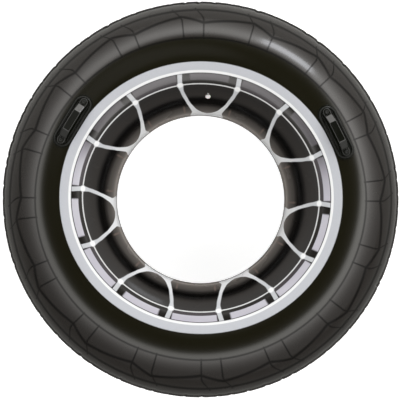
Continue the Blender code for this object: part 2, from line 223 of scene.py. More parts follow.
def any_of(tree, *masks):
    """Where one of the masks is 1."""
    result = masks[0]
    for mask in masks[1:]:
        result = calc(tree, "MAXIMUM", result, mask)
    return result


def tinted(tree, under, over, mask):
    """The colour under, covered by the colour over where the mask is 1."""
    node = tree.nodes.new("ShaderNodeMix")
    node.data_type = "RGBA"
    sockets = [s for s in node.inputs if s.type == "RGBA"]
    for socket, value in zip(sockets, (under, over)):
        if isinstance(value, bpy.types.NodeSocket):
            tree.links.new(value, socket)
        else:
            socket.default_value = (*value, 1.0)
    tree.links.new(mask, node.inputs["Factor"])
    return next(s for s in node.outputs if s.type == "RGBA")


def new_effect(name, inputs, outputs):
    """An empty node group with number sockets, and its input and output nodes."""
    group = bpy.data.node_groups.new(name, "ShaderNodeTree")
    for label, value in inputs.items():
        socket = group.interface.new_socket(label, in_out="INPUT", socket_type="NodeSocketFloat")
        socket.default_value = value
    for label in outputs:
        group.interface.new_socket(label, in_out="OUTPUT", socket_type="NodeSocketFloat")
    return group, group.nodes.new("NodeGroupInput"), group.nodes.new("NodeGroupOutput")


def use_effect(tree, group, **values):
    """The group placed in a material. A value is a number or a socket, named with _ for a space."""
    node = tree.nodes.new("ShaderNodeGroup")
    node.node_tree = group
    for label, value in values.items():
        socket = node.inputs[label.replace("_", " ")]
        if isinstance(value, bpy.types.NodeSocket):
            tree.links.new(value, socket)
        else:
            socket.default_value = value
    return node


def waves(tree, angle, *parts):
    """The sum of waves that go once round the ring, twice, and so on: (size, start) of each."""
    total = 0.0
    for count, (size, start) in enumerate(parts, 1):
        turn = calc(tree, "RADIANS", calc(tree, "MULTIPLY_ADD", angle, float(count), start))
        total = calc(tree, "MULTIPLY_ADD", calc(tree, "SINE", turn), size, total)
    return total


def ring_place_effect():
    """Where a point is on the ring: degrees round it, degrees round the tube, and its radius."""
    group, given, made = new_effect(
        "ring place",
        {"Ring radius": ring_radius, "Seam height": seam_height},
        ("Angle", "Tube", "Radius"),
    )
    place = group.nodes.new("ShaderNodeTexCoord").outputs["Object"]
    parts = group.nodes.new("ShaderNodeSeparateXYZ")
    group.links.new(place, parts.inputs[0])
    x, y, z = parts.outputs
    squares = calc(group, "ADD", calc(group, "MULTIPLY", x, x), calc(group, "MULTIPLY", y, y))
    radius = calc(group, "SQRT", squares)
    angle = calc(group, "DEGREES", calc(group, "ARCTAN2", x, y))
    across = calc(group, "SUBTRACT", radius, given.outputs["Ring radius"])
    above = calc(group, "SUBTRACT", z, given.outputs["Seam height"])
    tube = calc(group, "DEGREES", calc(group, "ARCTAN2", above, across))
    # The film is a little askew on the tube, so the print wanders across the crest and along it.
    slip = waves(group, angle, (0.65, 94.0), (2.7, -86.0))
    creep = waves(group, angle, (0.63, 95.0), (0.64, 0.0))
    upright = calc(group, "ABSOLUTE", calc(group, "SINE", calc(group, "RADIANS", tube)))
    moved = calc(group, "MULTIPLY_ADD", slip, upright, tube)
    group.links.new(calc(group, "SUBTRACT", angle, creep), made.inputs["Angle"])
    group.links.new(moved, made.inputs["Tube"])
    group.links.new(radius, made.inputs["Radius"])
    return group


def tyre_lines_effect():
    """The tyre's blocks: a zigzag round the shoulder and lines across it, 1 on the ink.

    Places are in degrees round the ring or the tube, and the lines' widths are in mm."""
    group, given, made = new_effect(
        "tyre lines", {"Angle": 0.0, "Tube": 0.0, "Radius": ring_radius}, ("Ink",)
    )
    repeat, long_block, first = 22.5, 15.7, -3.6
    outer_at, inner_at, zigzag_low, zigzag_climb = 28.0, 66.5, 48.6, -9.6
    tube = calc(group, "ABSOLUTE", given.outputs["Tube"])
    degree = calc(group, "MULTIPLY", given.outputs["Radius"], 1000 * math.pi / 180)
    tube_degree = tube_radius * 1000 * math.pi / 180

    def off_line(place, at):
        """How far round the ring a place is from the nearest repeat of a line."""
        past = calc(group, "SUBTRACT", place, at - repeat / 2)
        past = calc(group, "FLOORED_MODULO", past, repeat)
        return calc(group, "ABSOLUTE", calc(group, "SUBTRACT", past, repeat / 2))

    def line_round(at, core, fade, strength):
        """A line that goes round the ring at a place on the tube, and fades at its sides."""
        off = calc(group, "ABSOLUTE", calc(group, "SUBTRACT", tube, at))
        return ramp(group, calc(group, "MULTIPLY", off, tube_degree), core, fade, strength, 0.0)

    lean = ramp(group, tube, 22.0, 46.0, 2.6, 0.0)
    leaning = calc(group, "ADD", given.outputs["Angle"], lean)
    off = calc(group, "MINIMUM", off_line(leaning, first), off_line(leaning, first + long_block))
    across = ramp(group, calc(group, "MULTIPLY", off, degree), 0.4, 3.4, 0.9, 0.0)
    across = calc(group, "MULTIPLY", across, between(group, tube, 23.0, 68.0, 0.8))
    # The zigzag is near the outer seam at the start of a short block.
    past = calc(group, "SUBTRACT", given.outputs["Angle"], first)
    past = calc(group, "FLOORED_MODULO", past, repeat)
    climb = calc(group, "DIVIDE", past, long_block)
    fall = calc(group, "DIVIDE", calc(group, "SUBTRACT", repeat, past), repeat - long_block)
    peak = calc(group, "MINIMUM", climb, fall)
    zigzag_at = calc(group, "MULTIPLY_ADD", peak, zigzag_climb, zigzag_low)
    zigzag = line_round(zigzag_at, 1.0, 8.0, 0.85)
    inner = line_round(inner_at, 0.5, 4.5, 0.8)
    outer = line_round(outer_at, 0.5, 10.0, 0.85)
    group.links.new(any_of(group, across, zigzag, inner, outer), made.inputs["Ink"])
    return group


def vinyl_grain_effect():
    """Calendered vinyl: a fine orange peel, slow ripples of the film, and rubbed patches."""
    patch_size = 0.09
    group, given, made = new_effect(
        "vinyl grain",
        {"Grain size": 0.0011, "Ripple size": 0.045, "Ripple share": 0.5},
        ("Height", "Rubbed"),
    )
    place = group.nodes.new("ShaderNodeTexCoord").outputs["Object"]

    def cloud(size, detail):
        node = group.nodes.new("ShaderNodeTexNoise")
        node.inputs["Detail"].default_value = detail
        group.links.new(place, node.inputs["Vector"])
        if isinstance(size, bpy.types.NodeSocket):
            group.links.new(calc(group, "DIVIDE", 1.0, size), node.inputs["Scale"])
        else:
            node.inputs["Scale"].default_value = 1 / size
        return node.outputs[0]

    peel = cloud(given.outputs["Grain size"], 2.0)
    ripple = cloud(given.outputs["Ripple size"], 1.0)
    height = calc(group, "MULTIPLY_ADD", ripple, given.outputs["Ripple share"], peel)
    group.links.new(height, made.inputs["Height"])
    group.links.new(ramp(group, cloud(patch_size, 4.0), 0.42, 0.68), made.inputs["Rubbed"])
    return group


ring_place = ring_place_effect()
tyre_lines = tyre_lines_effect()
vinyl_grain = vinyl_grain_effect()


def new_finish(name, roughness):
    """A material with its Principled shader, and the shader's inputs by name."""
    material = bpy.data.materials.new(name)
    material.use_nodes = True
    shader = material.node_tree.nodes["Principled BSDF"]
    shader.inputs["Roughness"].default_value = roughness
    return material, material.node_tree, shader


def grained(tree, shader, roughness, rubbed_by, depth, **sizes):
    """Adds the vinyl's grain to the shader's normal and roughness."""
    grain = use_effect(tree, vinyl_grain, **sizes)
    bump = tree.nodes.new("ShaderNodeBump")
    bump.inputs["Distance"].default_value = depth
    tree.links.new(grain.outputs["Height"], bump.inputs["Height"])
    tree.links.new(bump.outputs["Normal"], shader.inputs["Normal"])
    rubbed = calc(tree, "MULTIPLY_ADD", grain.outputs["Rubbed"], rubbed_by, roughness)
    tree.links.new(rubbed, shader.inputs["Roughness"])


def tyre_colour(tree, shader, place):
    """The tyre's colour and its gloss. The film is black, and a shade lighter on the shoulder's
    blocks. Its gloss is a clear layer on top, which the thick ink of the lines dulls."""
    black, block, line = (0.0074, 0.0067, 0.0027), (0.0150, 0.0126, 0.0108), (0.003, 0.0028, 0.0025)
    ink = use_effect(
        tree,
        tyre_lines,
        Angle=place.outputs["Angle"],
        Tube=place.outputs["Tube"],
        Radius=place.outputs["Radius"],
    )
    tube = calc(tree, "ABSOLUTE", place.outputs["Tube"])
    shoulder = between(tree, tube, 12.0, 66.0, 3.0)
    shader.inputs["Specular IOR Level"].default_value = 0.04
    shader.inputs["Coat Roughness"].default_value = 0.15
    gloss = calc(tree, "MULTIPLY_ADD", ink.outputs["Ink"], -0.72, 1.0)
    tree.links.new(gloss, shader.inputs["Coat Weight"])
    body = tinted(tree, black, block, shoulder)
    return tinted(tree, body, line, ink.outputs["Ink"]), gloss


# The rows of the panel's mesh, in degrees round the tube, are closer near the seams.
upper_tubes = [0.15, 0.8, 1.6, 2.6, 3.8, 5.4, 7.2, 9.2, 11.6, 14.2, 17, 20, *range(24, 165, 4)]
upper_tubes += [167, 170, 173, 176, 178, 179.85]
upper_panel = film_panel("upper_panel", upper_tubes)

# The valve sits in the middle of a window, square to the film.
valve_tilt = math.radians(42.0)
valve_up = Vector((0, -math.sin(valve_tilt), math.cos(valve_tilt)))
valve_along = Vector((0, math.cos(valve_tilt), math.sin(valve_tilt)))
valve_seat = Vector((0, ring_radius, seam_height)) + valve_up * tube_radius
valve_place = Matrix.Translation(valve_seat) @ Matrix(
    (valve_along, valve_up.cross(valve_along), valve_up)
).transposed().to_4x4()

hole_radius, punch_length = 0.0058, 0.02
punch_mesh = bpy.data.meshes.new("valve_punch")
punch_bm = bmesh.new()
bmesh.ops.create_cone(
    punch_bm,
    cap_ends=True,
    segments=48,
    radius1=hole_radius,
    radius2=hole_radius,
    depth=punch_length,
)
punch_bm.to_mesh(punch_mesh)
punch_bm.free()
punch = bpy.data.objects.new("valve_punch", punch_mesh)
bpy.context.scene.collection.objects.link(punch)
punch.matrix_world = valve_place
punched = upper_panel.modifiers.new("valve hole", "BOOLEAN")
punched.operation = "DIFFERENCE"
punched.object = punch
with_modifiers_applied(upper_panel)
upper_panel.data.set_sharp_from_angle(angle=math.radians(50))
bpy.data.objects.remove(punch)


def wheel_print(tree, shader, place, tyre, gloss):
    """The alloy wheel over the tyre's colour: rim, windows, spokes, and what shows between them.

    Each place is in degrees round the tube, and each place across a spoke is in degrees round
    the ring from the middle of a window."""
    shine, dark = (0.78, 0.79, 0.80), (0.010, 0.0088, 0.0075)
    half_sector = 360 / 14
    band_start, band_end, circle_at = 102.5, 116.2, 116.5
    rim_start, rim_line_start, rim_end = 91.0, 101.3, 104.0
    face_start, face_end = 104.8, 111.9
    angle = place.outputs["Angle"]
    # The wheel is a little more askew than the tyre.
    started = ramp(tree, place.outputs["Tube"], 78.0, 95.0)
    slip = waves(tree, angle, (1.4, 75.0))
    tube = calc(tree, "MULTIPLY_ADD", slip, started, place.outputs["Tube"])
    creep = calc(tree, "ADD", waves(tree, angle, (-0.53, 6.0), (0.32, 0.0)), -0.5)
    angle = calc(tree, "SUBTRACT", angle, creep)
    off = calc(tree, "ADD", calc(tree, "PINGPONG", angle, half_sector), 0.25)

    # Dark print inside the windows, with a darker band across them. Towards the hole they are painted
    # paler, where the film curls away under: a painted reflection of the pale floor.
    window_print_and_reflection = curve(
        tree,
        tube,
        (
            (110.0, 0.013), (121.0, 0.015), (126.0, 0.022), (131.0, 0.023), (135.0, 0.006),
            (142.0, 0.004), (147.0, 0.024), (151.0, 0.062), (155.6, 0.085), (161.0, 0.125),
            (166.7, 0.22), (172.0, 0.34), (180.0, 0.34),
        ),
        110.0,
        180.0,
        0.0,
        0.4,
    )
    window = tinted(tree, (0.0, 0.0, 0.0), (1.0, 0.91, 0.84), window_print_and_reflection)
    tick_place = between(tree, off, 13.7, 14.9, 0.3)
    tick = all_of(tree, tick_place, between(tree, tube, 148.0, 165.0, 3.0))
    colour = tinted(tree, window, (0.19, 0.14, 0.12), calc(tree, "MULTIPLY", tick, 0.5))

    # Flat faces between rim and windows, brighter on the side that is turned to the light.
    lit = ramp(tree, calc(tree, "ABSOLUTE", angle), 60.0, 88.0)
    lit_noise = tree.nodes.new("ShaderNodeTexNoise")
    lit_noise.inputs["Scale"].default_value = 9.0
    bright = all_of(tree, lit, lit_noise.outputs[0])
    towards_rim = ramp(tree, tube, 112.0, 105.0)
    grey = tinted(tree, (0.060, 0.055, 0.061), (0.104, 0.097, 0.106), towards_rim)
    face_colour = tinted(tree, grey, (0.38, 0.36, 0.43), lit)
    face_colour = tinted(tree, face_colour, (0.56, 0.56, 0.60), bright)
    face = between(tree, tube, face_start, face_end, 0.4)
    round_face = all_of(tree, face, ramp(tree, off, 8.6, 9.7, 1.0, 0.0))
    long_face = all_of(tree, face, ramp(tree, off, 15.2, 16.0))
    band = between(tree, tube, band_start, band_end, 0.3)
    shadow = all_of(tree, band, ramp(tree, off, 15.0, 15.4, 1.0, 0.0))
    colour = tinted(tree, colour, (0.045, 0.040, 0.044), band)
    colour = tinted(tree, colour, dark, shadow)
    colour = tinted(tree, colour, face_colour, any_of(tree, round_face, long_face))

    # Each spoke swings in from the rim and spreads into a foot at the hole.
    inner_edge = curve(
        tree,
        tube,
        (
            (115.0, 13.2), (118.7, 12.95), (123.5, 12.95), (128.6, 12.3), (134.0, 11.5), (140.1, 10.6),
            (143.4, 9.9), (147.0, 9.0), (151.0, 8.0), (155.6, 6.8), (158.2, 5.9), (161.1, 4.7),
            (164.6, 3.1), (168.1, 0.0),
        ),
        115.0,
        168.1,
        0.0,
        16.0,
    )
    outer_edge = curve(
        tree,
        tube,
        (
            (115.0, 15.5), (118.7, 15.4), (123.5, 14.8), (128.6, 14.3), (134.0, 13.5), (140.1, 12.5),
            (143.4, 12.1), (147.0, 11.5), (151.0, 10.9), (155.6, 10.3), (161.1, 9.8), (166.0, 10.1),
            (171.0, 10.7), (180.0, 10.9),
        ),
        115.0,
        180.0,
        0.0,
        16.0,
    )
    soft = 0.28
    past_inner = calc(tree, "SUBTRACT", off, inner_edge)
    before_outer = calc(tree, "SUBTRACT", outer_edge, off)
    below_window = ramp(tree, tube, 167.4, 168.8)
    spoke = all_of(
        tree,
        any_of(tree, ramp(tree, past_inner, -soft, soft), below_window),
        ramp(tree, before_outer, -soft, soft),
        ramp(tree, tube, 114.6, 115.2),
    )
    stub_middle = calc(tree, "MULTIPLY_ADD", tube, 0.055, 7.9)
    stub_off = calc(tree, "ABSOLUTE", calc(tree, "SUBTRACT", off, stub_middle))
    stub_place = between(tree, tube, band_start, circle_at, 0.4)
    stub = all_of(tree, ramp(tree, stub_off, 0.9, 1.25, 1.0, 0.0), stub_place)
    spoke_end = ramp(tree, tube, 118.0, 174.0)
    silver = tinted(tree, (0.49, 0.505, 0.53), (0.90, 0.91, 0.93), spoke_end)
    colour = tinted(tree, colour, silver, any_of(tree, spoke, stub))

    # A thin circle joins the spokes, with a bright star at each.
    star_across = calc(tree, "DIVIDE", calc(tree, "SUBTRACT", off, 14.25), 1.9)
    star_along = calc(tree, "DIVIDE", calc(tree, "SUBTRACT", tube, 116.6), 3.2)
    star_across = calc(tree, "POWER", star_across, 2.0)
    star_along = calc(tree, "POWER", star_along, 2.0)
    star_reach = calc(tree, "SQRT", calc(tree, "ADD", star_across, star_along))
    star = ramp(tree, star_reach, 0.55, 1.1, 1.0, 0.0)
    circle_off = calc(tree, "ABSOLUTE", calc(tree, "SUBTRACT", tube, circle_at))
    circle = ramp(tree, circle_off, 0.35, 0.95, 0.75, 0.0)
    colour = tinted(tree, colour, shine, any_of(tree, star, circle))

    # The rim is brushed round, with a polished line at its inner edge.
    brush = tree.nodes.new("ShaderNodeTexNoise")
    brush.inputs["Scale"].default_value = 1.0
    brush.inputs["Detail"].default_value = 3.0
    brush_place = tree.nodes.new("ShaderNodeCombineXYZ")
    tree.links.new(calc(tree, "MULTIPLY", angle, 0.9), brush_place.inputs[0])
    tree.links.new(calc(tree, "MULTIPLY", tube, 6.0), brush_place.inputs[1])
    tree.links.new(brush_place.outputs[0], brush.inputs["Vector"])
    rim_colour = tinted(tree, (0.415, 0.43, 0.465), (0.54, 0.555, 0.595), brush.outputs[0])
    colour = tinted(tree, colour, rim_colour, between(tree, tube, rim_start, rim_end, 0.4))
    colour = tinted(tree, colour, shine, between(tree, tube, rim_line_start, rim_end, 0.35))
    under_rim = between(tree, tube, 104.2, face_start, 0.3)
    colour = tinted(tree, colour, (0.03, 0.03, 0.032), calc(tree, "MULTIPLY", under_rim, 0.8))

    # The pressed weld at the hole has hardly any print on it.
    hole_edge = ring_radius - tube_radius
    rib = calc(tree, "SINE", calc(tree, "MULTIPLY", angle, 12.0))
    rib = calc(tree, "SUBTRACT", 1.0, ramp(tree, rib, -0.6, 0.8, 0.75, 0.95))
    off_weld = ramp(tree, place.outputs["Radius"], hole_edge - 0.002, hole_edge)
    colour = tinted(tree, (0.20, 0.195, 0.19), colour, calc(tree, "MAXIMUM", off_weld, rib))
    # The matt ink of the wheel's inner half takes most of the gloss away.
    matt = ramp(tree, tube, 111.0, 114.0, 0.0, 0.78)
    tree.links.new(calc(tree, "SUBTRACT", gloss, matt), shader.inputs["Coat Weight"])
    return tinted(tree, tyre, colour, ramp(tree, tube, 91.9, 92.9))


printed_vinyl, printed_tree, printed_shader = new_finish("printed_vinyl", 0.26)
printed_place = use_effect(printed_tree, ring_place)
printed_tyre = tyre_colour(printed_tree, printed_shader, printed_place)
printed_colour = wheel_print(printed_tree, printed_shader, printed_place, *printed_tyre)
printed_tree.links.new(printed_colour, printed_shader.inputs["Base Color"])
grained(printed_tree, printed_shader, 0.24, 0.06, 0.00005, Ripple_share=9.0)

upper_panel.data.materials.clear()
upper_panel.data.materials.append(printed_vinyl)
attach(upper_panel, "ring")
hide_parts("upper_skin")


# ---- Lower panel ---------------------------------------------------------------------
# The side that lies on the floor or the water: the same film with the tyre's lines only.
# The soft tube flattens to a narrow band where it rests.

rest_band = 0.030
lower_tubes = [-tube for tube in upper_tubes]
lower_panel = film_panel("lower_panel", lower_tubes, settle=rest_band**2 / 8 / tube_radius)

plain_vinyl, plain_tree, plain_shader = new_finish("plain_vinyl", 0.30)
plain_place = use_effect(plain_tree, ring_place)
plain_colour, _ = tyre_colour(plain_tree, plain_shader, plain_place)
plain_tree.links.new(plain_colour, plain_shader.inputs["Base Color"])
grained(plain_tree, plain_shader, 0.28, 0.08, 0.00005, Ripple_share=9.0)

lower_panel.data.materials.clear()
lower_panel.data.materials.append(plain_vinyl)
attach(lower_panel, "ring")
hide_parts("lower_skin")


# ---- Welded seams --------------------------------------------------------------------
# Both panels' margins are fused by a ribbed electrode, which leaves a flat fin a few
# millimetres wide. The outer fin waves with the creases, and the inner one is taut.

weld_valley_shade, weld_crest_sheen, ribs_per_degree = (0.030, 0.028, 0.026), (0.085, 0.081, 0.078), 12.0

weld_vinyl, weld_tree, weld_shader = new_finish("weld_vinyl", 0.36)
weld_place = use_effect(weld_tree, ring_place)
# The ribs are painted darker in their valleys and paler on their crests: painted shade and sheen that
# follow the ribs' bump.
weld_turn = calc(weld_tree, "MULTIPLY", weld_place.outputs["Angle"], ribs_per_degree)
weld_rib = calc(weld_tree, "SINE", weld_turn)
weld_rib_shading = tinted(weld_tree, weld_valley_shade, weld_crest_sheen, ramp(weld_tree, weld_rib, -0.4, 0.9))
weld_tree.links.new(weld_rib_shading, weld_shader.inputs["Base Color"])
weld_grain = use_effect(weld_tree, vinyl_grain, Ripple_share=0.3)
weld_bump = weld_tree.nodes.new("ShaderNodeBump")
weld_bump.inputs["Distance"].default_value = 0.0002
weld_height = calc(weld_tree, "MULTIPLY_ADD", weld_rib, 0.5, weld_grain.outputs["Height"])
weld_tree.links.new(weld_height, weld_bump.inputs["Height"])
weld_tree.links.new(weld_bump.outputs["Normal"], weld_shader.inputs["Normal"])


def weld_fin(name, node, tube, outwards, vinyl):
    """A flat fin with a rounded free edge, standing out of the tube at a seam."""
    low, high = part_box(node)
    width, buried = 0.0038, 0.0005
    half = (high.z - low.z) / 2
    flat = width * 0.9
    section = [(-buried, half), (flat, half), (width, 0.0), (flat, -half), (-buried, -half)]
    around = np.arange(0, 360, 0.5)
    root_x, root_y, root_z = on_ring(around, np.full(around.shape, tube))
    root = np.hypot(root_x, root_y)
    turn = np.radians(around)
    rows = []
    for reach, up in section:
        radius = root + outwards * reach
        rows.append(np.stack([radius * np.sin(turn), radius * np.cos(turn), root_z + up], axis=-1))
    fin = new_piece(name, np.concatenate(rows), grid_faces(len(around), len(rows), tubed=True))
    fin.data.materials.append(vinyl)
    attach(fin, "ring")
    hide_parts(node)


weld_fin("outer_weld", "outer_seam", 0.0, 1, weld_vinyl)
weld_fin("inner_weld", "inner_seam", 180.0, -1, printed_vinyl)


# ---- Grab handles --------------------------------------------------------------------
# Each is a soft glossy vinyl moulding welded to the crest by its flat margin. Inside the
# margin are a fat bead and a thinner ridge, and at each end a round boss. The grip is a
# strap that rises between the bosses, with a round stud through each end.

handle_length, handle_width = 0.151, 0.052
base_gap, base_thickness, base_rounding = 0.0003, 0.0014, 0.001
weld_margin, bead_radius, bead_height = 0.005, 0.002, 1.35
ridge_from_edge, ridge_radius, ridge_height = 0.0125, 0.0011, 1.1
stud_at, boss_radius, boss_height, boss_slope = 0.057, 0.009, 0.003, 0.0012
grip_width, grip_thickness, grip_bend = 0.020, 0.005, 0.0034
grip_rounding = grip_thickness * 0.46

# Each handle's angle round the ring from +Y, and how far it sits inwards of the crest.
handles = {"left": (-62.6, 0.0225), "right": (59.5, 0.026)}


def handle_place(angle, offset):
    """A handle's frame: X along the ring, Z out of the film, clockwise from +Y by the angle."""
    lean = math.asin(offset / tube_radius)
    up = Vector((0, math.sin(lean), math.cos(lean)))
    along = Vector((1, 0, 0))
    seat = Vector((0, ring_radius, seam_height)) + up * tube_radius
    axes = Matrix((along, up.cross(along), up)).transposed()
    return Matrix.Rotation(-math.radians(angle), 4, "Z") @ Matrix.Translation(seat) @ axes.to_4x4()


def lifted(point, lift):
    """The place on the round tube nearest to a point, lifted off it."""
    middle = Vector((point.x, point.y, 0)).normalized() * ring_radius
    middle.z = seam_height
    return middle + (point - middle).normalized() * (tube_radius + lift)


def rounded_bar(distance, radius):
    """Height of a half-round bar at a distance from its middle."""
    return math.sqrt(max(radius**2 - distance**2, 0.0))


def stadium_pad(name, length, width, straight_steps, edges, top, bottom, place):
    """A closed pad with round ends, made of loops at growing distances from its edge. Top and
    bottom give its heights from (x, y, distance), and place turns (x, y, height) into a point."""
    end, arc_steps = width / 2, 40
    straight = length / 2 - end
    loop = []
    for side in (1, -1):
        for step in range(arc_steps):
            turn = math.pi * (step / arc_steps - 0.5)
            loop.append((side * straight, side * math.cos(turn), side * math.sin(turn)))
        for step in range(straight_steps):
            loop.append((side * straight * (1 - 2 * step / straight_steps), 0.0, float(side)))
    upper, under = [], []
    for edge in edges:
        for middle, across, up in loop:
            x, y = middle + across * (end - edge), up * (end - edge)
            upper.append(place(x, y, top(x, y, edge)))
            under.append(place(x, y, bottom(x, y, edge)))
    starts = range(0, len(upper), len(loop))
    outwards = [point for start in reversed(starts) for point in upper[start : start + len(loop)]]
    pad = new_piece(name, outwards + under, grid_faces(len(loop), 2 * len(edges)))
    bm = bmesh.new()
    bm.from_mesh(pad.data)
    bmesh.ops.remove_doubles(bm, verts=bm.verts, dist=1e-6)
    bmesh.ops.dissolve_degenerate(bm, edges=bm.edges, dist=1e-7)
    bmesh.ops.recalc_face_normals(bm, faces=bm.faces)
    bm.to_mesh(pad.data)
    bm.free()
    pad.data.shade_smooth()
    return pad


def base_top(x, y, edge):
    """The moulded base: thin rounded margin, bead, ridge, and the two bosses."""
    floor_height = base_gap + base_thickness
    height = base_gap + base_thickness * min(edge / base_rounding, 1.0) ** 0.5
    bead = rounded_bar(edge - weld_margin - bead_radius, bead_radius + 0.0002)
    height = max(height, floor_height + bead * bead_height)
    ridge = rounded_bar(edge - ridge_from_edge, ridge_radius)
    height = max(height, floor_height + ridge * ridge_height)
    for side in (-1, 1):
        off = math.hypot(x - side * stud_at, y)
        wall = min(max((boss_radius + boss_slope / 2 - off) / boss_slope, 0.0), 1.0)
        height += (floor_height + boss_height - height) * wall * wall * (3 - 2 * wall)
    return height


def strap_line():
    """The strap's middle from its foot up to the flat: (distance, height, lean) in metres and
    radians. It leaves the foot steeply, then rises gently to the flat."""
    foot_gap, bend_steps = 0.0015, 8
    slopes = ((60.0, 0.0004), (34.0, 0.0177), (0.0, 0.0))
    along, height, lean = stud_at - boss_radius + foot_gap, 0.0, 0.0
    line = [(along, height, lean)]
    for slope, run in slopes:
        start, turn = lean, math.radians(slope) - lean
        for step in range(1, bend_steps + 1):
            last, lean = lean, start + turn * step / bend_steps
            along -= grip_bend * abs(math.sin(lean) - math.sin(last))
            height += grip_bend * abs(math.cos(lean) - math.cos(last))
            line.append((along, height, lean))
        along -= run
        height += run * math.tan(lean)
        line.append((along, height, lean))
    return np.array(line[::-1]).T


strap_places, strap_heights, strap_leans = strap_line()


def make_finish_handle(name, gloss):
    """Glossy black vinyl with a green cast, dull where hands rub it."""
    material, tree, shader = new_finish(name, 0.2)
    shader.inputs["Specular IOR Level"].default_value = gloss
    rub = tree.nodes.new("ShaderNodeTexNoise")
    rub.inputs["Scale"].default_value = 60.0
    colour = tinted(tree, (0.0012, 0.0017, 0.0006), (0.0040, 0.0046, 0.0022), rub.outputs[0])
    tree.links.new(colour, shader.inputs["Base Color"])
    sizes = {"Grain_size": 0.0016, "Ripple_size": 0.02, "Ripple_share": 2.0}
    grained(tree, shader, 0.12, 0.10, 0.00006, **sizes)
    return material


handle_vinyl = make_finish_handle("handle_vinyl", 0.35)
strap_vinyl = make_finish_handle("strap_vinyl", 0.75)


def turned_piece(name, outline, place, steps=48):
    """A round piece from a profile of (radius, height), closed on its axis."""
    points = []
    for radius, height in outline:
        for step in range(steps):
            turn = math.tau * step / steps
            points.append(place @ Vector((radius * math.cos(turn), radius * math.sin(turn), height)))
    piece = new_piece(name, points, grid_faces(steps, len(outline)))
    bm = bmesh.new()
    bm.from_mesh(piece.data)
    bmesh.ops.remove_doubles(bm, verts=bm.verts, dist=1e-6)
    bmesh.ops.holes_fill(bm, edges=[edge for edge in bm.edges if edge.is_boundary])
    bmesh.ops.recalc_face_normals(bm, faces=bm.faces)
    bm.to_mesh(piece.data)
    bm.free()
    piece.data.shade_smooth()
    return piece


# Distances of the pads' loops from the edge, close where the bead and the ridge rise.
base_loops = [0.0, 0.0003, 0.0008, 0.0015, 0.003, *np.arange(0.0046, 0.0096, 0.0004)]
base_loops += np.arange(0.0110, 0.0142, 0.00035).tolist()
base_loops += [*np.arange(0.0148, 0.0258, 0.0008), handle_width / 2]
strap_loops = [grip_rounding * (step / 8) ** 2 for step in range(9)]
strap_loops += [0.004, 0.006, 0.008, grip_width / 2]

for side, (angle, offset) in handles.items():
    spot = handle_place(angle, offset)
    towards_far = math.copysign(stud_at, angle)

    def on_film(x, y, height, spot=spot):
        return lifted(spot @ Vector((x, y, 0)), height)

    base = stadium_pad(
        f"{side}_base",
        handle_length,
        handle_width,
        110,
        base_loops,
        base_top,
        lambda x, y, edge: base_gap,
        on_film,
    )
    base.data.materials.append(handle_vinyl)
    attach(base, "ring")
    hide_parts(f"{side}_handle_base")

    level = (spot.inverted() @ on_film(stud_at, 0, base_gap + base_thickness)).z
    floor_of_grip = level + boss_height + base_gap + grip_thickness / 2

    def on_strap(x, y, height, spot=spot, floor_of_grip=floor_of_grip):
        lean = -math.copysign(np.interp(abs(x), strap_places, strap_leans), x)
        up = floor_of_grip + np.interp(abs(x), strap_places, strap_heights)
        return spot @ Vector((x - height * math.sin(lean), y, up + height * math.cos(lean)))

    def crown(x, y, edge):
        full = 1 - (1 - min(edge / grip_rounding, 1.0)) ** 2
        return grip_thickness / 2 * math.sqrt(max(full, 0.0))

    grip = stadium_pad(
        f"{side}_strap",
        2 * stud_at + grip_width,
        grip_width,
        200,
        strap_loops,
        crown,
        lambda x, y, edge: -crown(x, y, edge),
        on_strap,
    )
    grip.data.materials.append(strap_vinyl)
    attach(grip, "ring")
    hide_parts(f"{side}_grip")

    # Each stud has a dimpled head, on a pin through the strap.
    for end, along in (("near", -towards_far), ("far", towards_far)):
        under = floor_of_grip + grip_thickness / 2 + 0.0002
        outline = [
            (0.0, under + 0.0012),
            (0.0016, under + 0.0012),
            (0.0022, under + 0.0016),
            (0.0030, under + 0.0024),
            (0.0040, under + 0.0024),
            (0.0050, under + 0.0018),
            (0.0056, under + 0.0008),
            (0.0054, under),
            (0.0029, under),
            (0.0029, under - grip_thickness),
            (0.0, under - grip_thickness),
        ]
        stud = turned_piece(f"{side}_{end}_stud", outline, spot @ Matrix.Translation((along, 0, 0)))
        stud.data.materials.append(handle_vinyl)
        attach(stud, "ring")
        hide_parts(f"{side}_stud_{end}")


# ---- Valve ---------------------------------------------------------------------------
# A soft safety valve: a smoky clear stem with a lip on the film, and a white stopper on a
# short tether of the same white vinyl, painted grey as painted shade. The flange and the check flap
# are inside the tube and keep their plain shapes.


def make_finish_soft(name, light, shade, roughness):
    """Soft moulded vinyl, a little unevenly coloured."""
    material, tree, shader = new_finish(name, roughness)
    cloud = tree.nodes.new("ShaderNodeTexNoise")
    cloud.inputs["Scale"].default_value = 180.0
    tree.links.new(tinted(tree, light, shade, cloud.outputs[0]), shader.inputs["Base Color"])
    shader.inputs["Subsurface Weight"].default_value = 0.15
    shader.inputs["Subsurface Scale"].default_value = 0.002
    grained(tree, shader, roughness, 0.08, 0.00008, Grain_size=0.0008, Ripple_size=0.006)
    return material


white_vinyl = make_finish_soft("white_vinyl", (0.88, 0.87, 0.85), (0.72, 0.72, 0.70), 0.26)
# The tether is the same white vinyl as the stopper, painted grey: painted shade.
shaded_tether_vinyl = make_finish_soft("shaded_tether_vinyl", (0.30, 0.30, 0.29), (0.21, 0.21, 0.20), 0.26)
clear_vinyl = make_finish_soft("clear_vinyl", (0.30, 0.31, 0.30), (0.20, 0.21, 0.20), 0.18)

